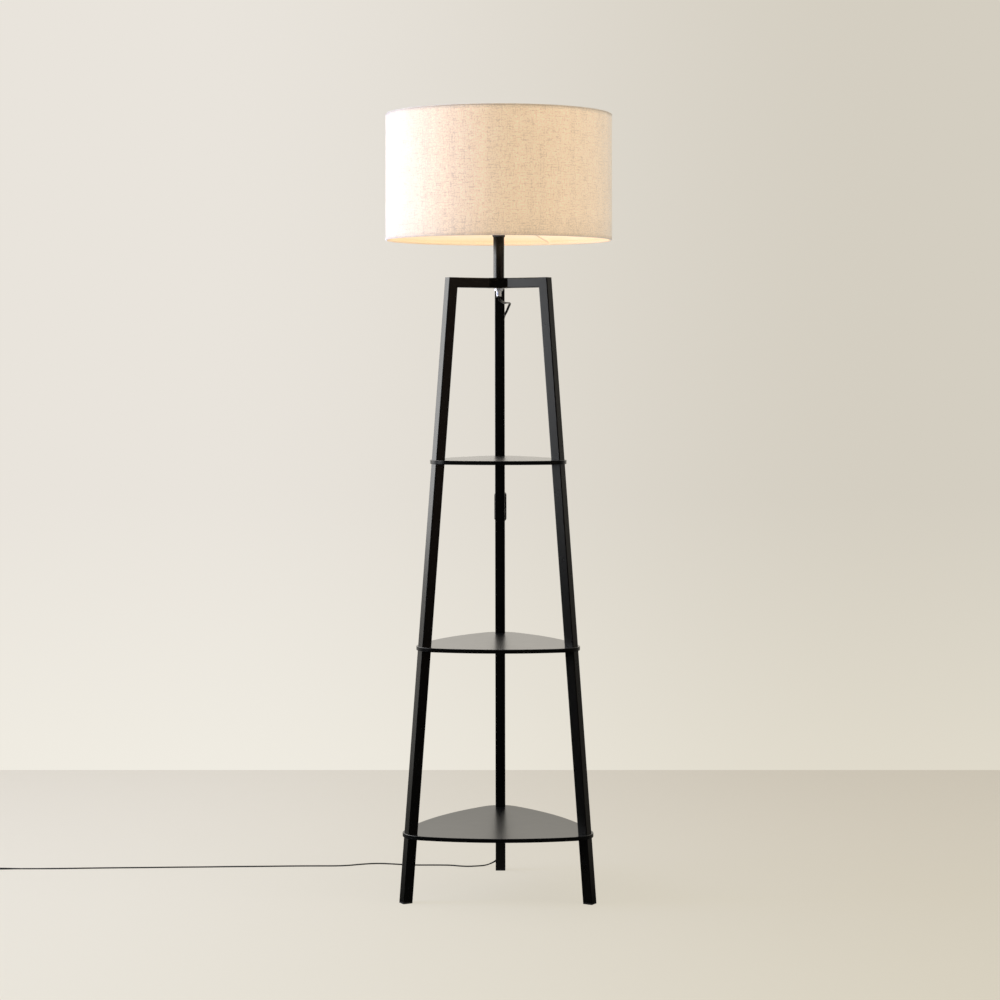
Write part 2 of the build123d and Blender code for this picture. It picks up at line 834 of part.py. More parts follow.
def make_coil():
    """The cord's unseen length, wound up on the floor; returns where its end is."""
    steps = round(coil_turns * 4)
    turns = [index * coil_turns / steps for index in range(steps + 1)]
    edges = [Line((*coil_start, layer_one), coil_point(0))]
    for low, high in zip(turns, turns[1:]):
        edges += biarc(coil_point(low), coil_way(low), coil_point(high), coil_way(high))
    end = coil_point(coil_turns)
    last = end + Vector(0, -cord_diameter, 0)
    edges.append(Line(end, last))
    path = Wire(edges)
    coil = sweep(Plane(path @ 0, z_dir=path % 0) * Circle(cord_diameter / 2), path)
    save("cord_coil", coil)

    samples = 1200
    points = [coil_point(coil_turns * index / samples) for index in range(samples + 1)]
    skip = round(samples / coil_turns / 4)
    nearest = min(
        (points[one] - points[two]).length
        for one in range(0, samples, 4)
        for two in range(one + skip, samples + 1, 4)
    )
    print(f"coil length {path.length:.1f}, least gap to itself {nearest - cord_diameter:.2f}")
    return last, path.length


def switch_plane():
    """The switch's frame: origin on the leg's back face, X across, Y out, Z up the leg."""
    up = Vector(0, -leg_lean, 1).normalized()
    outward = Vector(0, 1, leg_lean).normalized()
    on_axis = Vector(switch_side_shift, leg_radius(switch_centre_height), switch_centre_height)
    origin = on_axis + outward * (tube_side / 2 + switch_gap_to_leg)
    return Plane(origin, x_dir=(1, 0, 0), z_dir=up)


def off_leg(across, off_face, height):
    """A point behind the rear leg's back face."""
    return (across, leg_radius(height) + tube_side / 2 + off_face, height)


def make_cord(coil_length):
    """The flex inside the post, and its two free stretches above and below the switch."""
    frame = switch_plane()
    middle = switch_back_thickness
    half = switch_length / 2
    switch_top = tuple(frame.from_local_coords((0, middle, half)))
    above = tuple(frame.from_local_coords((0, middle, half + cord_switch_lead)))
    below = tuple(frame.from_local_coords((0, middle, -half - cord_switch_lead)))
    switch_end = tuple(frame.from_local_coords((0, middle, -half)))

    points = [(0, 0, nipple_bottom)]
    points += [(x, y, frame_height - down) for x, y, down in CORD_ROUND_LEG]
    span = points[-1][2] - above[2]
    points += [off_leg(x, off, above[2] + share * span) for x, off, share in CORD_TO_SWITCH]
    upper, upper_length = cord_tube("cord_upper", points + [above, switch_top])
    points = [switch_end, below]
    points += [off_leg(*point) for point in CORD_FROM_SWITCH]
    points += [(x, leg_foot_radius + back, layer_one) for x, back in CORD_ON_FLOOR]
    lower, lower_length = cord_tube("cord_lower", points + [(*coil_start, layer_one)])
    save("cord_upper", upper)
    save("cord_lower", lower)

    split = holder_bottom + nipple_into_holder + cord_split_above_nipple
    inner = rod_between((0, 0, nipple_bottom), (0, 0, split), cord_diameter / 2)
    for side in (-1, 1):
        foot = (side * core_spread, 0, split - core_spread)
        tip = (side * terminal_screw_offset, 0, terminal_bottom + core_spread)
        inner += rod_between(foot, tip, core_diameter / 2)
    save("cord_inner", inner & between(nipple_bottom, terminal_bottom))
    total = upper_length + lower_length + coil_length + switch_length
    print(f"cord from the threaded tube to the plug: {total:.0f} mm")


# ---------------------------------------------------------------- switch
def switch_outline(inset):
    """The switch seen from outside: straight sides, sloping shoulders, narrow ends."""
    half = switch_length / 2 - inset
    wide = switch_width / 2 - inset
    narrow = switch_end_width / 2 - inset / 2
    straight = switch_straight / 2
    right = [(wide, -straight), (wide, straight), (narrow, half)]
    left = [(-x, y) for x, y in reversed(right)]
    points = [(narrow, -half)] + right + left + [(-narrow, -half)]
    return fillet(make_face(Polyline(*points, close=True)).vertices(), switch_corner)


def switch_layer(inset, low, high):
    """That outline made solid between two depths from the leg."""
    drawing = Plane.XZ * switch_outline(inset)
    return Pos(0, low, 0) * extrude(drawing, -(high - low))


def make_switch():
    """Two shells, the rocker with its trunnions, contacts and two screws."""
    frame = switch_plane().location
    split = switch_back_thickness
    front = split + switch_front_thickness
    wall = switch_wall
    half = switch_length / 2
    cord_hole = rod_between((0, split, -half - 5), (0, split, half + 5), cord_diameter / 2)
    bosses = Part()
    holes = Part()
    screws = []
    for x, z in SWITCH_SCREWS:
        boss_end = (x, front - switch_boss_inset, z)
        bosses += rod_between((x, switch_boss_inset, z), boss_end, switch_boss_radius)
        head = rod_between((x, 0, z), (x, switch_screw_head_height, z), switch_screw_head_radius)
        shank = rod_between((x, 0, z), (x, front - switch_screw_stop, z), switch_screw_radius)
        screws.append(head + shank)
        holes += head + shank

    back = switch_layer(0, 0, split) - switch_layer(wall, wall, split)
    back += bosses & switch_layer(0, 0, split)
    back = back - cord_hole - holes
    pivot = front - rocker_pivot_depth
    opening = Pos(0, front, 0) * Box(
        rocker_width + 2 * rocker_gap, 2 * switch_front_thickness, 2 * (rocker_radius + rocker_gap)
    )
    bearing_reach = rocker_width / 2 + trunnion_length + rocker_gap
    cheek_inside = pivot - cheek_depth
    cheeks = Pos(0, (cheek_inside + front) / 2, 0) * Box(
        2 * (bearing_reach + cheek_wall), front - cheek_inside, 2 * (rocker_radius + wall)
    )
    bearing = rod_between(
        (-bearing_reach, pivot, 0), (bearing_reach, pivot, 0), trunnion_radius + trunnion_clearance
    )
    cover = switch_layer(0, split, front) - switch_layer(wall, split, front - wall)
    cover += (cheeks + bosses) & switch_layer(0, split, front)
    cover = cover - opening - bearing - cord_hole - holes

    arms = rocker_width / 2 + trunnion_length
    blank = Pos(0, pivot, 0) * Rot(0, 90, 0) * Cylinder(rocker_radius, rocker_width)
    crest = front + rocker_rise
    rise = rocker_radius * math.tan(math.radians(rocker_tilt))
    profile = Polyline(
        (pivot - rocker_skirt_depth, -rocker_radius),
        (crest, -rocker_radius),
        (crest - rise, 0),
        (crest, rocker_radius),
        (pivot - rocker_skirt_depth, rocker_radius),
        (pivot - rocker_keel_depth, 0),
        close=True,
    )
    block = extrude(make_face(Plane.YZ * profile), rocker_width / 2, both=True)
    trunnions = rod_between((-arms, pivot, 0), (arms, pivot, 0), trunnion_radius)
    rocker = (block & blank) + trunnions
    rocker = Pos(0, pivot, 0) * Rot(-rocker_tilt, 0, 0) * Pos(0, -pivot, 0) * rocker

    block_depth = terminal_block[1]
    contacts = []
    for side in (-1, 1):
        along = side * terminal_from_middle
        terminal = Pos(0, wall + block_depth / 2, along) * Box(*terminal_block)
        clamp = Box(terminal_clamp_side, terminal_clamp_height, terminal_clamp_side)
        contacts.append(terminal + Pos(0, wall + block_depth, along) * clamp)
    contacts.append(Pos(0, wall + bridge_size[1] / 2, 0) * Box(*bridge_size))
    save("switch_back", frame * back)
    save("switch_front", frame * cover)
    save("switch_rocker", frame * rocker)
    save("switch_contacts", *[frame * contact for contact in contacts])
    save("switch_screws", *[frame * screw for screw in screws])
    axis_point = switch_plane().from_local_coords((0, pivot, 0))
    print("rocker axis through", [round(value, 3) for value in axis_point])


# ---------------------------------------------------------------- plug
def make_plug(cord_end):
    """A two-pin plug lying on the floor; its cable side is at cord_end, its pins to -Y."""
    place = Pos(cord_end.X, cord_end.Y, cord_end.Z)
    points = [(0, relief_thin_radius)]
    step = relief_length / relief_grooves
    for index in range(relief_grooves):
        start = step * index + step / 2 - relief_groove_width / 2
        end = start + relief_groove_width
        for along, depth in ((start, 0), (start, 1), (end, 1), (end, 0)):
            share = along / relief_length
            cone = relief_thin_radius + share * (relief_thick_radius - relief_thin_radius)
            points.append((along, cone - depth * relief_groove_depth))
    points.append((relief_length, relief_thick_radius))
    outline = [(radius, -along) for along, radius in points]
    outline += [(0, -relief_length), (0, 0)]
    relief = revolve(make_face(Plane.XY * Polyline(*outline, close=True)), Axis.Y)
    save("plug_strain_relief", place * relief)

    rear = -relief_length
    face = rear - plug_length
    right = [
        (plug_rear_width / 2, rear),
        (plug_wide_width / 2, face + plug_wide_at),
        (plug_face_width / 2, face),
    ]
    left = [(-x, y) for x, y in reversed(right)]
    body_face = make_face(Polyline(*right, *left, close=True))
    body_face = fillet(body_face.vertices(), plug_edge_round)
    body = extrude(Plane.XY * body_face, plug_thickness / 2, both=True)
    flats = body.faces().sort_by(Axis.Z)
    body = fillet(flats[0].edges() + flats[-1].edges(), plug_edge_round)
    pins = []
    for side in (-1, 1):
        x = side * pin_spacing / 2
        body += rod_between((x, face + 1, 0), (x, face - pin_sleeve_length, 0), pin_sleeve_radius)
        core = rod_between(
            (x, face + pin_embed, 0), (x, face - pin_sleeve_length, 0), pin_core_radius
        )
        tip = rod_between((x, face - pin_sleeve_length, 0), (x, face - pin_length, 0), pin_radius)
        tip = fillet(tip.edges().sort_by(Axis.Y)[0], pin_radius * 0.6)
        pins.append(core + tip)
        body -= core
    save("plug_body", place * body)
    save("plug_pins", *[place * pin for pin in pins])


os.makedirs("parts", exist_ok=True)
make_legs()
make_arms()
make_hub()
make_shelves()
make_post()
make_holder()
make_clamping_ring()
make_bulb()
make_shade()
cord_end, coil_length = make_coil()
make_cord(coil_length)
make_switch()
make_plug(cord_end)
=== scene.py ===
import math

import bpy
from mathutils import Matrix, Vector, noise


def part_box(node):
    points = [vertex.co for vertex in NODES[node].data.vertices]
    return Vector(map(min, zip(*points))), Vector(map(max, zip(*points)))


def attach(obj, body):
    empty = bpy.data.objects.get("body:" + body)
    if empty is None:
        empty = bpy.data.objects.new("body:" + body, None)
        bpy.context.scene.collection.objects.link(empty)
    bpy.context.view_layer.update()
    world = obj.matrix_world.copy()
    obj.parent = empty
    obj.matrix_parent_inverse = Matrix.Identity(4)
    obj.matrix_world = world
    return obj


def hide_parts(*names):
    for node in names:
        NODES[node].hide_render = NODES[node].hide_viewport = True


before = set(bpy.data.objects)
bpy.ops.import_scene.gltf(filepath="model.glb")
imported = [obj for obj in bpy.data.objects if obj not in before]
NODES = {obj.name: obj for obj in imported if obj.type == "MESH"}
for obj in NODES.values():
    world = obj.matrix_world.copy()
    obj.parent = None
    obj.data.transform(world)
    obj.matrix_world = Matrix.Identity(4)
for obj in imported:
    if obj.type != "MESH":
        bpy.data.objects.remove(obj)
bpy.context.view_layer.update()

MM = 0.001


# ------------------------------------------------------------------ camera
CAMERA_DISTANCE = 4.850
CAMERA_HEIGHT = 1.065
LAMP_TURN = math.radians(1.046)
FOCAL_PX = 2443.3
AXIS_PX = 498.75
HORIZON_PX = 355.0
FRAME_PX = 1000.0
SENSOR_MM = 36.0

camera_data = bpy.data.cameras.new("camera")
camera = bpy.data.objects.new("camera", camera_data)
bpy.context.scene.collection.objects.link(camera)
bpy.context.scene.camera = camera
camera.location = (
    CAMERA_DISTANCE * math.sin(LAMP_TURN),
    -CAMERA_DISTANCE * math.cos(LAMP_TURN),
    CAMERA_HEIGHT,
)
camera.rotation_euler = (math.radians(90), 0, LAMP_TURN)
camera_data.sensor_width = SENSOR_MM
camera_data.lens = FOCAL_PX / FRAME_PX * SENSOR_MM
camera_data.shift_x = 0.5 - AXIS_PX / FRAME_PX
camera_data.shift_y = HORIZON_PX / FRAME_PX - 0.5
camera_data.clip_start = 0.1
camera_data.clip_end = 60.0


# ------------------------------------------------------------------ material helpers
def grey(value):
    """A neutral colour."""
    return (value, value, value)


def new_material(name):
    """A new material: returns it, its node tree and its Principled shader."""
    material = bpy.data.materials.new(name)
    material.use_nodes = True
    tree = material.node_tree
    return material, tree, tree.nodes["Principled BSDF"]


def add(tree, kind, inputs=None, **settings):
    """A node with its settings and the values of its inputs, or the sockets they take."""
    node = tree.nodes.new(kind)
    for key, value in settings.items():
        setattr(node, key, value)
    for key, value in (inputs or {}).items():
        if isinstance(value, bpy.types.NodeSocket):
            tree.links.new(value, node.inputs[key])
        else:
            node.inputs[key].default_value = value
    return node


def ramp(tree, factor, stops):
    """A colour ramp; stops are (position, (r, g, b))."""
    node = add(tree, "ShaderNodeValToRGB", {"Fac": factor})
    elements = node.color_ramp.elements
    while len(elements) < len(stops):
        elements.new(0.5)
    for element, (position, colour) in zip(elements, stops):
        element.position = position
        element.color = (*colour, 1.0)
    return node.outputs["Color"]


def maths(tree, operation, *values):
    """A sum, product or other operation on numbers or sockets."""
    return add(tree, "ShaderNodeMath", dict(enumerate(values)), operation=operation).outputs[0]


def map_range(tree, value, start, end, low=0.0, high=1.0, smooth=False):
    """Low to high while value goes from start to end."""
    inputs = {
        "Value": value,
        "From Min": start,
        "From Max": end,
        "To Min": low,
        "To Max": high,
    }
    kind = "SMOOTHSTEP" if smooth else "LINEAR"
    return add(tree, "ShaderNodeMapRange", inputs, interpolation_type=kind).outputs[0]


def object_axes(tree):
    """The X, Y and Z sockets of the surface's place in its object."""
    coords = add(tree, "ShaderNodeTexCoord").outputs["Object"]
    return add(tree, "ShaderNodeSeparateXYZ", {"Vector": coords}).outputs


def mix_shader(tree, share, first, second):
    """The first shader at share 0 and the second at share 1."""
    inputs = {"Fac": share, 1: first.outputs[0], 2: second.outputs[0]}
    return add(tree, "ShaderNodeMixShader", inputs)


def mix_colour(tree, factor, first, second, blend="MIX"):
    """The first colour at factor 0 and the second, or their blend, at factor 1."""
    node = add(tree, "ShaderNodeMix", data_type="RGBA", blend_type=blend)
    for index, value in ((0, factor), (6, first), (7, second)):
        if isinstance(value, bpy.types.NodeSocket):
            tree.links.new(value, node.inputs[index])
        else:
            node.inputs[index].default_value = value if index == 0 else (*value, 1.0)
    return node.outputs[2]


def noise_of(tree, scale, detail, stretch=(1, 1, 1)):
    """Noise over object space, stretched along its axes."""
    coords = add(tree, "ShaderNodeTexCoord").outputs["Object"]
    place = add(tree, "ShaderNodeMapping", {"Vector": coords, "Scale": stretch})
    inputs = {"Vector": place.outputs[0], "Scale": scale, "Detail": detail}
    return add(tree, "ShaderNodeTexNoise", inputs).outputs["Fac"]


def bump(tree, shader, height, strength, distance):
    """Small relief, as shading only."""
    inputs = {"Height": height, "Strength": strength, "Distance": distance}
    relief = add(tree, "ShaderNodeBump", inputs)
    tree.links.new(relief.outputs[0], shader.inputs["Normal"])


def coated(name, dark, light, roughness, grain, depth, spread=0.06, specular=0.5):
    """A moulded or painted surface: mottled colour, uneven gloss and a fine grain."""
    material, tree, shader = new_material(name)
    cloud = noise_of(tree, 14.0, 3.0)
    tone = ramp(tree, cloud, [(0.3, dark), (0.7, light)])
    tree.links.new(tone, shader.inputs["Base Color"])
    patch = noise_of(tree, 60.0, 5.0)
    uneven = map_range(tree, patch, 0.0, 1.0, roughness - spread, roughness + spread)
    tree.links.new(uneven, shader.inputs["Roughness"])
    shader.inputs["Specular IOR Level"].default_value = specular
    bump(tree, shader, noise_of(tree, grain, 2.0), 0.15, depth)
    return material


def metal(name, colour, roughness, scratch=(1, 1, 12), metallic=1.0):
    """Plated metal with fine drawn marks."""
    material, tree, shader = new_material(name)
    marks = noise_of(tree, 900.0, 4.0, scratch)
    shade = tuple(0.82 * c for c in colour)
    tone = ramp(tree, marks, [(0.35, shade), (0.65, colour)])
    tree.links.new(tone, shader.inputs["Base Color"])
    shader.inputs["Metallic"].default_value = metallic
    uneven = map_range(tree, marks, 0.0, 1.0, roughness - 0.08, roughness + 0.1)
    tree.links.new(uneven, shader.inputs["Roughness"])
    bump(tree, shader, marks, 0.2, 0.05 * MM)
    return material


# ------------------------------------------------------------------ mesh helpers
def new_piece(name, mesh, material, body):
    """A smooth visible object that rides on a body and has a named material slot."""
    piece = bpy.data.objects.new(name, mesh)
    bpy.context.scene.collection.objects.link(piece)
    mesh.materials.append(material)
    for polygon in mesh.polygons:
        polygon.use_smooth = True
    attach(piece, body)
    return piece


def lathe(name, profile, segments, shift):
    """A mesh turned about Z from a closed loop of (radius, height) points, UVs in metres.

    shift(angle, index) gives a point's extra radius."""
    vertices = []
    faces = []
    uvs = []
    count = len(profile)
    lengths = [0.0]
    for (r0, z0), (r1, z1) in zip(profile, profile[1:] + profile[:1]):
        lengths.append(lengths[-1] + math.hypot(r1 - r0, z1 - z0))
    for step in range(segments):
        angle = 2 * math.pi * step / segments
        for index, (radius, height) in enumerate(profile):
            reach = radius + shift(angle, index)
            vertices.append((reach * math.cos(angle), reach * math.sin(angle), height))
    around = profile[0][0] * 2 * math.pi
    for step in range(segments):
        after = (step + 1) % segments
        for row in range(count):
            up = (row + 1) % count
            faces.append(
                (step * count + row, after * count + row, after * count + up, step * count + up)
            )
            u0 = around * step / segments
            u1 = around * (step + 1) / segments
            v0 = lengths[row]
            v1 = lengths[row + 1]
            uvs += [(u0, v0), (u1, v0), (u1, v1), (u0, v1)]
    mesh = bpy.data.meshes.new(name)
    mesh.from_pydata(vertices, [], faces)
    layer = mesh.uv_layers.new(name="metres")
    for loop, uv in zip(layer.data, uvs):
        loop.uv = uv
    mesh.update()
    return mesh


# ------------------------------------------------------------------ cord
CORD_WIDTH = 4.8 * MM
CORD_THICK = 2.4 * MM
# The height of the flex's middle where it lies on the floor, in millimetres.
FLOOR = 1.35
CORD_EXIT = (0.0, 0.0, 1181.5)

# The route's points in millimetres. It keeps to the CAD tube, but the flex lies flat on the
# floor, so its middle is lower there than the round tube's.
ROUTE_UPPER = [
    CORD_EXIT,
    (0.3, 0.5, 1177.0),
    (4.2, 9.0, 1171.8),
    (11.0, 32.0, 1168.6),
    (18.0, 60.0, 1170.0),
    (21.8, 87.0, 1169.6),
    (17.5, 107.0, 1162.0),
    (13.9, 123.0, 1153.5),
    (7.8, 130.2, 1144.0),
    (3.8, 133.0, 1119.0),
    (3.2, 135.5, 1077.5),
    (2.0, 137.9, 1032.1),
    (1.0, 140.5, 986.8),
    (2.0, 144.3, 941.5),
    (3.2, 149.9, 893.3),
    (1.8, 153.6, 853.0),
    (0.5, 156.6, 828.1),
    (0.5, 159.9, 788.2),
]
# Inside the switch the flex runs nearer the leg, clear of the rocker.
ROUTE_SWITCH = [
    (0.5, 158.0, 767.0),
    (0.5, 159.4, 752.4),
    (0.5, 160.9, 737.5),
]
ROUTE_LOWER = [
    (0.5, 165.6, 720.5),
    (0.5, 168.9, 680.6),
    (2.0, 172.9, 628.0),
    (3.5, 176.2, 570.0),
    (3.0, 181.6, 518.0),
    (1.2, 186.2, 466.0),
    (0.0, 189.5, 408.0),
    (-1.5, 193.9, 350.0),
    (-2.2, 199.3, 292.0),
    (-1.0, 203.9, 236.0),
    (0.8, 208.5, 184.0),
    (1.6, 214.1, 134.0),
    (0.6, 220.1, 88.0),
    (-0.8, 229.2, 46.3),
    (-2.4, 236.2, 25.0),
    (-7.5, 240.0, 13.0),
    (-19.0, 241.5, 6.2),
    (-32.0, 239.6, 1.8),
    (-50.5, 235.0, FLOOR),
    (-67.0, 231.0, FLOOR),
    (-85.0, 233.8, FLOOR),
    (-103.0, 242.6, FLOOR),
    (-133.0, 243.6, FLOOR),
    (-178.0, 242.0, FLOOR),
    (-206.0, 247.3, FLOOR),
    (-229.0, 253.0, FLOOR),
    (-252.0, 257.6, FLOOR),
    (-275.0, 254.6, FLOOR),
    (-296.0, 246.4, FLOOR),
    (-317.0, 236.4, FLOOR),
    (-341.0, 230.6, FLOOR),
    (-381.0, 230.2, FLOOR),
    (-436.0, 228.0, FLOOR),
    (-496.0, 223.4, FLOOR),
    (-557.0, 220.2, FLOOR),
    (-617.0, 215.2, FLOOR),
    (-677.0, 212.0, FLOOR),
    (-737.0, 207.2, FLOOR),
    (-797.0, 203.8, FLOOR),
    (-857.0, 199.4, FLOOR),
    (-917.0, 193.8, FLOOR),
    (-975.0, 190.4, 1.6),
    (-1032.0, 185.0, 2.6),
    (-1076.0, 185.0, 2.7),
]
COIL_RADIUS = 31.3
COIL_PITCH = 4.6
COIL_TURNS = 3.25
COIL_REVERSE = 1.625
COIL_CENTRE = (-1080.0, 153.7)
COIL_LOW = 2.65
COIL_HIGH = 7.0
COIL_POINTS_A_TURN = 12
COIL_TAIL = 5.0


def coil_point(turn):
    """The coil spirals in on the floor, climbs a layer and spirals out again."""
    inward = min(turn, COIL_REVERSE)
    outward = max(turn - COIL_REVERSE, 0)
    radius = COIL_RADIUS - COIL_PITCH * inward + COIL_PITCH * outward
    climb = min(max((turn - COIL_REVERSE) * 2 + 0.5, 0), 1)
    height = COIL_LOW + (COIL_HIGH - COIL_LOW) * (1 - math.cos(math.pi * climb)) / 2
    angle = math.pi / 2 + 2 * math.pi * turn
    return (
        COIL_CENTRE[0] + radius * math.cos(angle),
        COIL_CENTRE[1] + radius * math.sin(angle),
        height,
    )


steps = round(COIL_TURNS * COIL_POINTS_A_TURN)
ROUTE_COIL = [coil_point(COIL_TURNS * (step + 0.5) / steps) for step in range(steps)]
coil_end = coil_point(COIL_TURNS)
ROUTE_COIL += [coil_end, (coil_end[0], coil_end[1] - COIL_TAIL, COIL_HIGH)]
ROUTE = [
    Vector(point) * MM for point in ROUTE_UPPER + ROUTE_SWITCH + ROUTE_LOWER + ROUTE_COIL
]

# Which way the flex's flat side faces, at some of the route's points by number.
FACING = {
    0: (0.0, 1.0, 0.0),
    1: (-0.1, 1.0, 0.1),
    2: (-0.6, 0.8, 0.3),
    3: (-0.6, 0.6, 0.5),
    4: (-0.3, 0.3, 0.9),
    5: (0.1, 0.3, 1.0),
    6: (0.2, 0.9, 0.6),
    7: (0.3, 1.0, 0.3),
    8: (0.2, 1.0, 0.2),
    10: (0.0, 1.0, 0.1),
    33: (0.0, 1.0, 0.1),
    35: (0.1, 0.9, 0.5),
    37: (0.0, 0.5, 1.0),
    38: (0.0, 0.1, 1.0),
    40: (0.0, 0.0, 1.0),
    62: (0.0, 0.0, 1.0),
    64: (0.0, 1.0, 0.05),
}
# How many route points ahead the nearest one is looked for, and how often the
# directions are averaged with their neighbours.
SEARCH_AHEAD = 4
FACING_SMOOTHINGS = 6
# Each strand's round side, in degrees and steps.
STRAND_ARC = 252
STRAND_STEPS = 8


def route_line(points):
    """The smooth line of the route: points along a NURBS curve, made and removed here."""
    curve = bpy.data.curves.new("cord_route", "CURVE")
    curve.dimensions = "3D"
    spline = curve.splines.new("NURBS")
    spline.points.add(len(points) - 1)
    for target, point in zip(spline.points, points):
        target.co = (*point, 1.0)
    spline.order_u = 3
    spline.use_endpoint_u = True
    spline.resolution_u = 10
    carrier = bpy.data.objects.new("cord_route", curve)
    bpy.context.scene.collection.objects.link(carrier)
    bpy.context.view_layer.update()
    mesh = bpy.data.meshes.new_from_object(carrier)
    line = [vertex.co.copy() for vertex in mesh.vertices]
    bpy.data.objects.remove(carrier)
    bpy.data.curves.remove(curve)
    bpy.data.meshes.remove(mesh)
    return line


def facing_along(line, points):
    """The flat side's direction at each point of the line, square to the line."""
    keys = sorted(FACING)
    coil_from = len(ROUTE_UPPER + ROUTE_SWITCH + ROUTE_LOWER) - 1
    nearest = []
    start = 0
    for point in line:
        window = range(start, min(start + SEARCH_AHEAD, len(points)))
        start = min(window, key=lambda index: (points[index] - point).length)
        nearest.append(start)
    result = []
    for index, point in enumerate(line):
        ahead = line[min(index + 1, len(line) - 1)]
        behind = line[max(index - 1, 0)]
        way = (ahead - behind).normalized()
        here = nearest[index]
        if here >= coil_from:
            centre = Vector((COIL_CENTRE[0] * MM, COIL_CENTRE[1] * MM, point.z))
            wanted = (point - centre).normalized()
        else:
            low = max(key for key in keys if key <= here)
            high = min((key for key in keys if key > here), default=low)
            span = (points[high] - points[low]).length
            share = 0.0
            if span > 0:
                share = min((point - points[low]).length / span, 1.0)
            wanted = Vector(FACING[low]).lerp(Vector(FACING[high]), share)
        wanted = wanted - way * wanted.dot(way)
        result.append(wanted.normalized())
    for _ in range(FACING_SMOOTHINGS):
        smooth = []
        for index, value in enumerate(result):
            before = result[max(index - 1, 0)]
            after = result[min(index + 1, len(result) - 1)]
            smooth.append((before + value * 2 + after).normalized())
        result = smooth
    return result


def flex_profile():
    """Two round strands side by side with a web between them: (across, out) in metres."""
    radius = CORD_THICK / 2
    offset = CORD_WIDTH / 2 - radius
    half = []
    for step in range(STRAND_STEPS + 1):
        angle = math.radians(STRAND_ARC * (step / STRAND_STEPS - 0.5))
        half.append((offset + radius * math.cos(angle), radius * math.sin(angle)))
    other = [(-x, -y) for x, y in half]
    return half + other


def make_flex(line, facing):
    """The flex's profile swept along the line, with closed ends."""
    profile = flex_profile()
    count = len(profile)
    vertices = []
    faces = []
    for index, point in enumerate(line):
        ahead = line[min(index + 1, len(line) - 1)]
        behind = line[max(index - 1, 0)]
        way = (ahead - behind).normalized()
        out = (facing[index] - way * facing[index].dot(way)).normalized()
        across = way.cross(out)
        vertices += [point + across * x + out * y for x, y in profile]
    for index in range(len(line) - 1):
        for spot in range(count):
            after = (spot + 1) % count
            base = index * count
            faces.append((base + spot, base + after, base + count + after, base + count + spot))
    faces.append(tuple(reversed(range(count))))
    last = (len(line) - 1) * count
    faces.append(tuple(range(last, last + count)))
    mesh = bpy.data.meshes.new("cord_flex")
    mesh.from_pydata(vertices, [], faces)
    mesh.update()
    return mesh


cord_line = route_line(ROUTE)
cord_material = coated(
    "cord_pvc", grey(0.005), grey(0.009), 0.48, 900.0, 0.03 * MM, 0.06, 0.32
)
cord = new_piece(
    "cord_flex",
    make_flex(cord_line, facing_along(cord_line, ROUTE)),
    cord_material,
    "frame",
)
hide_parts("cord_upper", "cord_lower", "cord_coil")


# ------------------------------------------------------------------ shade
SHADE_RADIUS = 225.0 * MM
SHADE_LOW = 1292.0 * MM
SHADE_HIGH = 1542.0 * MM
CLOTH_THICK = 0.4 * MM
# The hems: heights of their outside and inside edges from the rim, depth from outside to
# inside, thickness, how flat the roll is, and how uneven.
HEM_OUTSIDE = 2.7 * MM
HEM_INSIDE = 6.3 * MM
HEM_DEPTH = 5.4 * MM
HEM_CLOTH = 0.7 * MM
HEM_FLATNESS = 0.80
HEM_WOBBLE = 0.06 * MM
ROLL_STEPS = 12
SEAM_ANGLE = math.radians(82.0)
SEAM_WIDTH = 14.0 * MM
SEAM_RAISE = 0.35 * MM
SHADE_SEGMENTS = 480

LINEN_PALE = (0.815, 0.612, 0.400)
LINEN_DEEP = (0.716, 0.515, 0.318)
SLUB_COLOUR = (0.50, 0.335, 0.20)
# Noise scales along the UV axes, in cycles per metre: short and long side of a slub,
# the mottling, the fading across the strip and the single threads.
SLUB_LONG = 58.0
SLUB_SHORT = 400.0
CLOUD_SCALE = 34.0
BAND_SCALE = (60.0, 2.5)
FINE_SCALE = 330.0
WEAVE_SCALE = 620.0
SEAM_EDGE = 0.4 * MM
SEAM_LINE = 0.7 * MM


def seam_shading(tree, across):
    """The doubled cloth is a little darker, and its edge draws a fine line."""
    seam_start = SEAM_ANGLE * SHADE_RADIUS
    seam_end = seam_start + SEAM_WIDTH
    into = map_range(tree, across, seam_start - SEAM_EDGE, seam_start)
    out_of = map_range(tree, across, seam_end, seam_end + SEAM_EDGE, 1.0, 0.0)
    overlap = maths(tree, "MULTIPLY", into, out_of)
    line = maths(tree, "COMPARE", across, seam_start, SEAM_LINE)
    soft = maths(tree, "MULTIPLY", overlap, 0.09)
    sharp = maths(tree, "MULTIPLY", line, 0.22)
    return maths(tree, "ADD", soft, sharp)


def painted_rim_shade(tree, up):
    """Painted shade: the cloth is darker near both rims; up is the height above its lower edge.
    """
    low = map_range(tree, up, 0.0, 45.0 * MM, 0.90, 1.0)
    high = map_range(tree, up, 238.0 * MM, 246.0 * MM, 1.0, 0.74)
    return maths(tree, "MULTIPLY", low, high)


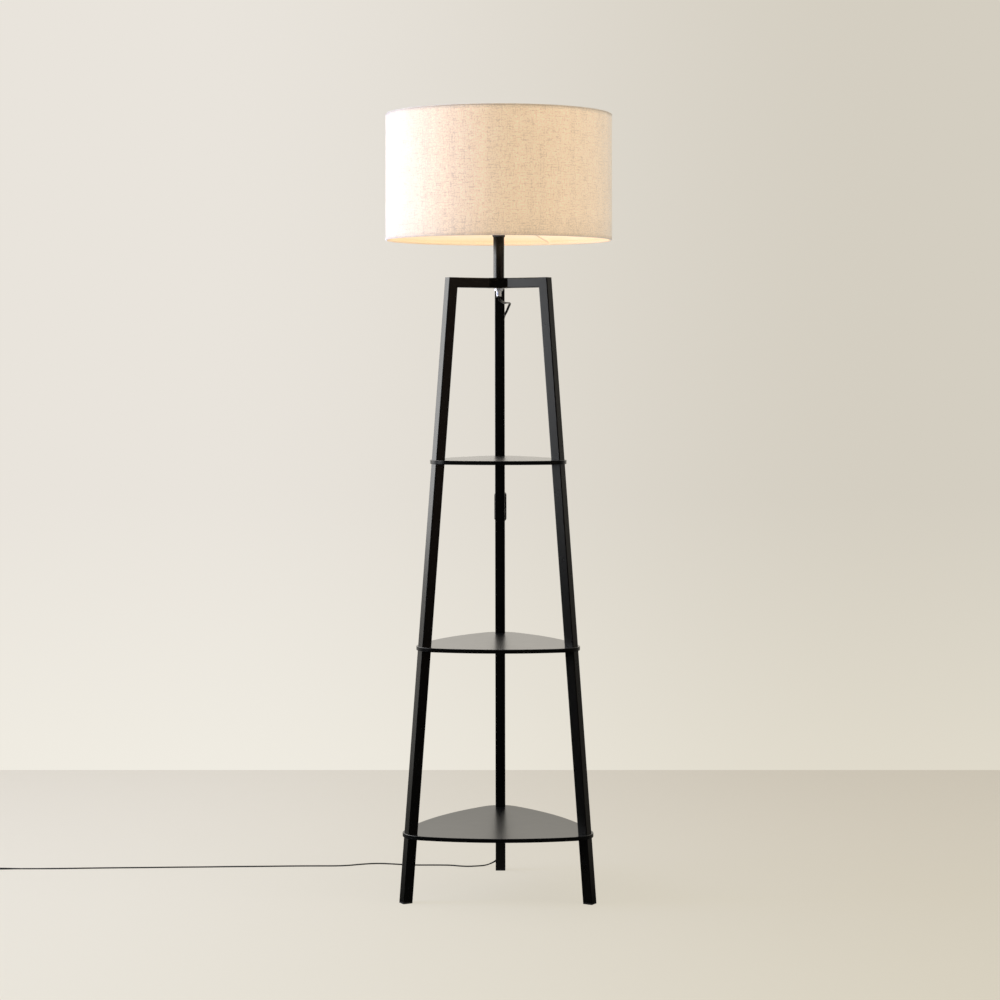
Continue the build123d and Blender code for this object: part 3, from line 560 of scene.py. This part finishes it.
def linen(name, glow, depth=None):
    """Oatmeal linen: warp and weft threads, slubs both ways and a mottled tone.

    glow is the light that comes through. depth is painted shade that darkens a hem
    evenly; without it the cloth has painted shade near its rims."""
    material, tree, shader = new_material(name)
    coords = add(tree, "ShaderNodeTexCoord").outputs["UV"]
    axes = add(tree, "ShaderNodeSeparateXYZ", {"Vector": coords}).outputs

    def streaks(across, along, detail):
        place = add(
            tree, "ShaderNodeMapping", {"Vector": coords, "Scale": (across, along, 1.0)}
        )
        inputs = {"Vector": place.outputs[0], "Scale": 1.0, "Detail": detail}
        return add(tree, "ShaderNodeTexNoise", inputs).outputs["Fac"]

    def threads(direction):
        inputs = {"Vector": coords, "Scale": WEAVE_SCALE, "Distortion": 1.5, "Detail": 1.0}
        wave = add(tree, "ShaderNodeTexWave", inputs, bands_direction=direction)
        return wave.outputs["Fac"]

    weft = streaks(SLUB_LONG, SLUB_SHORT, 2.0)
    warp = streaks(SLUB_SHORT, SLUB_LONG, 2.0)
    cloud = streaks(CLOUD_SCALE, CLOUD_SCALE, 4.0)
    band = streaks(*BAND_SCALE, 3.0)
    fine = streaks(FINE_SCALE, FINE_SCALE, 3.0)
    mottled = ramp(tree, cloud, [(0.30, LINEN_DEEP), (0.60, LINEN_PALE)])
    tone = mix_colour(tree, 0.30, LINEN_PALE, mottled)
    for slub, strength in ((weft, 0.44), (warp, 0.38)):
        thick = ramp(tree, slub, [(0.52, grey(0.0)), (0.70, grey(1.0))])
        share = maths(tree, "MULTIPLY", thick, strength)
        tone = mix_colour(tree, share, tone, SLUB_COLOUR)
    pale = ramp(tree, fine, [(0.35, (0.90, 0.885, 0.87)), (0.62, grey(1.08))])
    tone = mix_colour(tree, 1.0, tone, pale, "MULTIPLY")
    faded = ramp(tree, band, [(0.35, grey(0.96)), (0.65, grey(1.03))])
    tone = mix_colour(tree, 1.0, tone, faded, "MULTIPLY")
    tone = mix_colour(tree, seam_shading(tree, axes["X"]), tone, grey(0.0))
    # Painted shade: darker near the rims, or evenly over a hem by depth.
    share = painted_rim_shade(tree, axes["Y"]) if depth is None else depth
    dimmed = add(tree, "ShaderNodeVectorMath", {0: tone, "Scale": share}, operation="SCALE")
    tone = dimmed.outputs[0]
    tree.links.new(tone, shader.inputs["Base Color"])
    shader.inputs["Roughness"].default_value = 0.9
    shader.inputs["Specular IOR Level"].default_value = 0.2
    shader.inputs["Sheen Weight"].default_value = 0.9
    shader.inputs["Sheen Roughness"].default_value = 0.6
    shader.inputs["Sheen Tint"].default_value = (0.85, 0.95, 1.0, 1.0)
    tree.links.new(tone, shader.inputs["Emission Color"])
    shader.inputs["Emission Strength"].default_value = glow
    weave = maths(tree, "MULTIPLY", threads("X"), threads("Y"))
    height = maths(tree, "ADD", maths(tree, "MULTIPLY", weave, 0.4), weft)
    height = maths(tree, "ADD", height, warp)
    bump(tree, shader, height, 0.6, 0.4 * MM)
    return material


def liner_glow():
    """Translucent film, lit from inside, warmer towards the lower rim."""
    material, tree, shader = new_material("shade_liner_film")
    height = object_axes(tree)["Z"]
    share = map_range(tree, height, SHADE_LOW, SHADE_LOW + 60.0 * MM)
    stops = [
        (0.0, (0.80, 0.45, 0.20)),
        (0.12, (0.85, 0.56, 0.30)),
        (0.3, (1.0, 0.83, 0.60)),
        (1.0, (1.0, 0.895, 0.69)),
    ]
    tree.links.new(ramp(tree, share, stops), shader.inputs["Emission Color"])
    shader.inputs["Emission Strength"].default_value = 0.44
    weave = noise_of(tree, 700.0, 3.0)
    tone = ramp(tree, weave, [(0.3, (0.78, 0.65, 0.46)), (0.7, (0.86, 0.74, 0.56))])
    tree.links.new(tone, shader.inputs["Base Color"])
    shader.inputs["Roughness"].default_value = 0.55
    bump(tree, shader, weave, 0.2, 0.1 * MM)
    return material


linen_cloth = linen("linen", 0.315)
# The hems are darkened evenly with painted shade, the top hem more than the bottom one.
linen_top_hem = linen("linen_top_hem", 0.26, 0.62)
linen_bottom_hem = linen("linen_bottom_hem", 0.26, 0.80)
liner_film = liner_glow()


def seam_shift(angle, index):
    """The cloth's overlap at the back stands out by about its own thickness."""
    turn = (angle - SEAM_ANGLE) * SHADE_RADIUS
    return SEAM_RAISE if 0 <= turn <= SEAM_WIDTH else 0.0


# The cloth ends inside the hems, and lies a little inside their outer side.
CLOTH_ROWS = 40
CLOTH_INSET = 0.4 * MM
CLOTH_LOW = SHADE_LOW + 2.0 * MM
CLOTH_RISE = SHADE_HIGH - SHADE_LOW - 4.0 * MM
outer = [
    (SHADE_RADIUS - CLOTH_INSET, CLOTH_LOW + CLOTH_RISE * row / CLOTH_ROWS)
    for row in range(CLOTH_ROWS + 1)
]
inner = [(radius - CLOTH_THICK, height) for radius, height in reversed(outer)]
cloth_mesh = lathe("shade_cloth", outer + inner, SHADE_SEGMENTS, seam_shift)
shade_cloth = new_piece("shade_cloth", cloth_mesh, linen_cloth, "shade")
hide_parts("shade_cover")


def hem_profile(rim, up):
    """Cloth rolled over a rim: outside edge, round the wire and back inside.

    rim is the height of the shade's edge, and up is 1 for the lower one, -1 for the upper."""
    out = SHADE_RADIUS
    inside = SHADE_RADIUS - HEM_DEPTH
    middle = (out + inside) / 2
    half = (out - inside) / 2
    round_height = half * HEM_FLATNESS
    roll = [math.pi * step / ROLL_STEPS for step in range(ROLL_STEPS + 1)]
    points = [(out - 0.1 * MM, HEM_OUTSIDE)]
    for angle in roll:
        reach = middle + half * math.cos(angle)
        points.append((reach, round_height * (1 - math.sin(angle))))
    points += [(inside, HEM_INSIDE), (inside + HEM_CLOTH, HEM_INSIDE)]
    for angle in reversed(roll):
        reach = middle + (half - HEM_CLOTH) * math.cos(angle)
        height = round_height * (1 - math.sin(angle)) + HEM_CLOTH * math.sin(angle)
        points.append((reach, height + 0.01 * MM))
    points.append((out - 0.9 * MM, HEM_OUTSIDE))
    return [(radius, rim + up * height) for radius, height in points]


def hem_shift(angle, index):
    """The seam's overlap and a slight unevenness of the rolled cloth."""
    wobble = noise.noise(Vector((math.cos(angle) * 9, math.sin(angle) * 9, index * 0.2)))
    return seam_shift(angle, index) + HEM_WOBBLE * wobble


bottom_mesh = lathe("shade_bottom_hem", hem_profile(SHADE_LOW, 1), SHADE_SEGMENTS, hem_shift)
top_mesh = lathe("shade_top_hem", hem_profile(SHADE_HIGH, -1), SHADE_SEGMENTS, hem_shift)
bottom_mesh.flip_normals()
shade_bottom_hem = new_piece(
    "shade_bottom_hem", bottom_mesh, linen_bottom_hem, "shade"
)
shade_top_hem = new_piece("shade_top_hem", top_mesh, linen_top_hem, "shade")
# The side of each hem that faces inward gets the liner's material, with its painted glow of the
# bulb's light.
for hem in (shade_bottom_hem, shade_top_hem):
    hem.data.materials.append(liner_film)
    for polygon in hem.data.polygons:
        outward = Vector((polygon.center.x, polygon.center.y, 0)).normalized()
        if polygon.normal.dot(outward) < 0:
            polygon.material_index = 1


# ------------------------------------------------------------------ materials of the CAD pieces
def give(material, *names):
    """Each named CAD piece gets this material in place of its own."""
    for name in names:
        slots = NODES[name].data.materials
        slots.clear()
        slots.append(material)


def post_enamel():
    """The post is glossier than the legs, and duller close under the shade."""
    dark = (0.0016, 0.0012, 0.0009)
    light = (0.0030, 0.0023, 0.0017)
    material = coated("post_enamel", dark, light, 0.22, 400.0, 0.01 * MM, 0.02)
    tree = material.node_tree
    height = object_axes(tree)["Z"]
    share = map_range(tree, height, 1262.0 * MM, 1290.0 * MM, 0.85, 0.15)
    tree.links.new(share, tree.nodes["Principled BSDF"].inputs["Specular IOR Level"])
    return material


def lacquered_board():
    """Black lacquered board: smooth, with a faint orange peel that softens what it mirrors.

    Its upper side is glossier than its edges."""
    material, tree, shader = new_material("lacquered_board")
    cloud = noise_of(tree, 9.0, 3.0)
    tone = ramp(tree, cloud, [(0.3, (0.0016, 0.0016, 0.0015)), (0.7, (0.0026, 0.0026, 0.0024))])
    tree.links.new(tone, shader.inputs["Base Color"])
    patch = map_range(tree, noise_of(tree, 40.0, 4.0), 0.0, 1.0, 0.265, 0.305)
    tree.links.new(patch, shader.inputs["Roughness"])
    shader.inputs["IOR"].default_value = 2.0
    normal = add(tree, "ShaderNodeNewGeometry").outputs["Normal"]
    facing_up = add(tree, "ShaderNodeSeparateXYZ", {"Vector": normal}).outputs["Z"]
    share = map_range(tree, facing_up, 0.3, 0.9, 0.08, 0.5)
    tree.links.new(share, shader.inputs["Specular IOR Level"])
    bump(tree, shader, noise_of(tree, 220.0, 2.0), 0.03, 0.1 * MM)
    return material


def bulb_glass():
    """Frosted glass, evenly lit, a little dimmer at the neck."""
    material, tree, shader = new_material("bulb_frosted_glass")
    low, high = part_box("bulb_glass")
    share = map_range(tree, object_axes(tree)["Z"], low.z, high.z)
    stops = [(0.0, (0.9, 0.6, 0.3)), (0.3, (1.0, 0.85, 0.62)), (1.0, (1.0, 0.93, 0.80))]
    tree.links.new(ramp(tree, share, stops), shader.inputs["Emission Color"])
    shader.inputs["Emission Strength"].default_value = 1.0
    frost = noise_of(tree, 30.0, 3.0)
    tone = ramp(tree, frost, [(0.3, (0.86, 0.84, 0.80)), (0.7, (0.92, 0.90, 0.86))])
    tree.links.new(tone, shader.inputs["Base Color"])
    shader.inputs["Roughness"].default_value = 0.35
    return material


def clear_glass():
    """The bulb's stem: nearly clear glass."""
    material, tree, shader = new_material("stem_glass")
    cloud = noise_of(tree, 40.0, 2.0)
    tone = ramp(tree, cloud, [(0.3, (0.93, 0.95, 0.94)), (0.7, (0.98, 0.98, 0.98))])
    tree.links.new(tone, shader.inputs["Base Color"])
    shader.inputs["Roughness"].default_value = 0.05
    shader.inputs["Transmission Weight"].default_value = 0.9
    return material


POWDER_DARK = (0.0009, 0.0008, 0.0007)
POWDER_LIGHT = (0.0018, 0.0016, 0.0014)
frame_paint = coated("powder_coat", POWDER_DARK, POWDER_LIGHT, 0.28, 450.0, 0.02 * MM, 0.02)
board = lacquered_board()
moulding = coated("black_moulding", grey(0.010), grey(0.016), 0.5, 800.0, 0.06 * MM)
gloss = coated("black_gloss", grey(0.008), grey(0.012), 0.28, 500.0, 0.03 * MM)
white_wire = coated(
    "white_wire", (0.66, 0.55, 0.42), (0.74, 0.63, 0.50), 0.4, 700.0, 0.03 * MM
)
# A faint glow stands in for the bulb's light on the wires.
wire_shader = white_wire.node_tree.nodes["Principled BSDF"]
wire_shader.inputs["Emission Color"].default_value = (0.70, 0.50, 0.32, 1.0)
wire_shader.inputs["Emission Strength"].default_value = 0.45
porcelain = coated(
    "porcelain", (0.80, 0.79, 0.75), (0.86, 0.85, 0.82), 0.2, 200.0, 0.02 * MM
)
zinc = metal("zinc_plate", grey(0.88), 0.26, metallic=0.4)
nickel = metal("nickel_plate", (0.72, 0.70, 0.67), 0.25, scratch=(1, 1, 20))
brass = metal("brass", (0.80, 0.60, 0.28), 0.3)

LEGS = [
    f"leg_{side}_{section}"
    for side in ("left", "right", "rear")
    for section in ("foot", "lower", "upper", "top")
]
give(frame_paint, *LEGS, "arm_left", "arm_right", "arm_rear", "hub")
give(post_enamel(), "post")
give(board, "shelf_lower", "shelf_middle", "shelf_upper")
give(moulding, "leg_end_plugs", "leg_top_caps", "foot_pads", "holder_base", "holder_skirt")
give(moulding, "switch_back", "switch_front", "plug_body", "plug_strain_relief", "cord_inner")
give(gloss, "switch_rocker", "bulb_insulator", "shade_clamping_ring")
give(zinc, "leg_joint_studs", "lock_nut", "lock_washer", "lower_nipple", "upper_nipple")
give(zinc, "post_bushes", "terminal_screws", "switch_screws")
give(brass, "holder_screw_shell", "holder_centre_contact", "switch_contacts")
give(nickel, "bulb_cap", "bulb_tip_contact", "bulb_filament", "plug_pins")
give(porcelain, "holder_insert")
give(white_wire, "shade_spider", "shade_top_rim", "shade_bottom_rim")
give(liner_film, "shade_liner")
give(bulb_glass(), "bulb_glass")
give(clear_glass(), "bulb_stem")


# ------------------------------------------------------------------ floor, wall and lights
WALL_BEHIND = 1.42
WALL_SIZE = 9.0
TO_CAMERA = Vector((math.sin(LAMP_TURN), -math.cos(LAMP_TURN), 0.0))
RIGHT = Vector((math.cos(LAMP_TURN), math.sin(LAMP_TURN), 0.0))
# Where the backdrop's left and right tones are reached, and how strongly glossy surfaces
# mirror its lower and upper parts: the shares at two heights.
TONE_REACH = (-0.85, 1.05)
MIRROR_HEIGHTS = (0.44, 0.76)
MIRROR_SHARES = (0.77, 1.66)
PALE_PAINT = (0.6, 0.58, 0.54, 1.0)


def stage_plane(name, corners, material):
    """A flat piece of the room, which isn't part of the lamp."""
    mesh = bpy.data.meshes.new(name)
    mesh.from_pydata(corners, [], [tuple(range(len(corners)))])
    mesh.materials.append(material)
    piece = bpy.data.objects.new(name, mesh)
    bpy.context.scene.collection.objects.link(piece)


def seen_rays(tree):
    """1 for rays from the camera or through glass, and the sockets of every kind of ray."""
    rays = add(tree, "ShaderNodeLightPath").outputs
    return maths(tree, "MAXIMUM", rays["Is Camera Ray"], rays["Is Transmission Ray"]), rays


def backdrop_material(name, corners, along, reach, lit, gloss_along, gloss_reach, gloss_shares):
    """Its own flat tone for camera and glass rays; plain pale paint for the rest.

    corners are the tones at left and right, first at the end of the reach along that axis
    and then at its start. lit is how much of it is paint that takes light and shadow.
    Glossy surfaces mirror it by a share that changes over gloss_reach along its own axis,
    and with the height."""
    left, right, start_left, start_right = corners
    material = bpy.data.materials.new(name)
    material.use_nodes = True
    tree = material.node_tree
    tree.nodes.clear()
    output = add(tree, "ShaderNodeOutputMaterial")
    axes = object_axes(tree)
    across = map_range(tree, axes["X"], *TONE_REACH, smooth=True)
    share = map_range(tree, axes[along], *reach)
    end_tone = mix_colour(tree, across, left, right)
    start_tone = mix_colour(tree, across, start_left, start_right)
    tone = mix_colour(tree, share, start_tone, end_tone)
    flat = add(tree, "ShaderNodeEmission", {"Color": tone, "Strength": 1.0})
    paint = add(tree, "ShaderNodeBsdfDiffuse", {"Color": tone})
    blend = mix_shader(tree, lit, flat, paint)
    dimming = map_range(tree, axes[gloss_along], *gloss_reach, *gloss_shares)
    rising = map_range(tree, axes["Z"], *MIRROR_HEIGHTS, *MIRROR_SHARES)
    strength = maths(tree, "MULTIPLY", dimming, rising)
    mirrored = add(tree, "ShaderNodeEmission", {"Color": tone, "Strength": strength})
    pale = add(tree, "ShaderNodeBsdfDiffuse", {"Color": PALE_PAINT})
    seen, rays = seen_rays(tree)
    shown = mix_shader(tree, seen, pale, blend)
    glossed = mix_shader(tree, rays["Is Glossy Ray"], shown, mirrored)
    clear = add(tree, "ShaderNodeBsdfTransparent")
    behind = add(tree, "ShaderNodeNewGeometry").outputs["Backfacing"]
    final = mix_shader(tree, behind, glossed, clear)
    tree.links.new(final.outputs[0], output.inputs["Surface"])
    return material


def srgb(red, green, blue):
    """A colour given in 0 to 255 display values, as linear light."""
    values = []
    for value in (red, green, blue):
        share = value / 255
        values.append(share / 12.92 if share <= 0.04045 else ((share + 0.055) / 1.055) ** 2.4)
    return tuple(values)


# Left and right at the far end of the reach, then left and right at its start.
WALL_CORNERS = (
    srgb(233, 228, 220),
    srgb(212, 206, 193),
    srgb(240, 236, 226),
    srgb(224, 218, 203),
)
FLOOR_CORNERS = (
    srgb(221, 215, 203),
    srgb(206, 198, 182),
    srgb(230, 225, 212),
    srgb(216, 209, 191),
)
wall_material = backdrop_material(
    "wall_paint",
    WALL_CORNERS,
    along="Z",
    reach=(0.0, 0.7),
    lit=0.0,
    gloss_along="X",
    gloss_reach=(1.3, 2.0),
    gloss_shares=(1.0, 0.24),
)
floor_material = backdrop_material(
    "floor_paint",
    FLOOR_CORNERS,
    along="Y",
    reach=(-0.9, 1.4),
    lit=0.12,
    gloss_along="Y",
    gloss_reach=(-0.1, 0.4),
    gloss_shares=(0.05, 0.35),
)
centre = -TO_CAMERA * WALL_BEHIND
left_end = centre - RIGHT * WALL_SIZE
right_end = centre + RIGHT * WALL_SIZE
up = Vector((0, 0, WALL_SIZE))
stage_plane("wall", [left_end, right_end, right_end + up, left_end + up], wall_material)
near = TO_CAMERA * (2 * WALL_SIZE)
stage_plane("floor", [left_end + near, right_end + near, right_end, left_end], floor_material)


def area_light(name, place, aim, size, power, colour, mirrored):
    """A rectangular light that points at aim; mirrored is whether gloss shows it."""
    data = bpy.data.lights.new(name, "AREA")
    data.shape = "RECTANGLE"
    data.size, data.size_y = size
    data.energy = power
    data.color = colour
    light = bpy.data.objects.new(name, data)
    bpy.context.scene.collection.objects.link(light)
    light.location = place
    light.visible_glossy = mirrored
    way = Vector(aim) - Vector(place)
    light.rotation_euler = way.to_track_quat("-Z", "Y").to_euler()


DAYLIGHT = (0.97, 0.99, 1.02)
COOL_DAYLIGHT = (0.84, 1.07, 2.15)
SOFT_WARM = (1.0, 0.97, 0.93)
WARM = (1.0, 0.69, 0.53)
CEILING = (1.0, 0.98, 0.95)
# Name, place, aim, size in metres, watts, colour, and whether glossy surfaces mirror it.
LIGHTS = (
    ("window_back", (-2.05, 0.75, 1.80), (0.0, 0.0, 1.40), (1.2, 2.2), 25.5, DAYLIGHT, True),
    ("window_front", (-2.25, -0.75, 1.72), (0.0, 0.0, 1.40), (1.2, 2.15), 31.0, DAYLIGHT, True),
    ("fill", (3.3, -1.2, 1.7), (0.0, 0.0, 1.0), (1.6, 2.2), 46.5, SOFT_WARM, False),
    ("key", (-3.0, -0.18, 1.7), (0.0, 0.0, 1.3), (1.0, 1.6), 45.5, COOL_DAYLIGHT, False),
    ("warm_card", (3.1, -1.7, 1.35), (0.0, 0.0, 1.35), (1.6, 1.9), 1.9, WARM, True),
    ("overhead", (0.2, -0.8, 3.6), (0.0, 0.2, 0.8), (2.4, 2.4), 22.0, CEILING, True),
)
for row in LIGHTS:
    area_light(*row)

ROOM_COLOUR = (*srgb(222, 217, 206), 1.0)
ROOM_LIGHT = 0.55
ROOM_SEEN = 1.0
ROOM_MIRRORED = 0.025


def make_world():
    """The room past the planes: dimmer as light than as seen, and faint in mirrors."""
    world = bpy.data.worlds.new("studio")
    bpy.context.scene.world = world
    world.use_nodes = True
    tree = world.node_tree
    lighting = tree.nodes["Background"]
    lighting.inputs["Color"].default_value = ROOM_COLOUR
    lighting.inputs["Strength"].default_value = ROOM_LIGHT
    bright = add(tree, "ShaderNodeBackground", {"Color": ROOM_COLOUR, "Strength": ROOM_SEEN})
    faint = add(tree, "ShaderNodeBackground", {"Color": ROOM_COLOUR, "Strength": ROOM_MIRRORED})
    seen, rays = seen_rays(tree)
    shown = mix_shader(tree, seen, lighting, bright)
    glossed = mix_shader(tree, rays["Is Glossy Ray"], shown, faint)
    tree.links.new(glossed.outputs[0], tree.nodes["World Output"].inputs["Surface"])


make_world()

bpy.context.scene.view_settings.view_transform = "Standard"
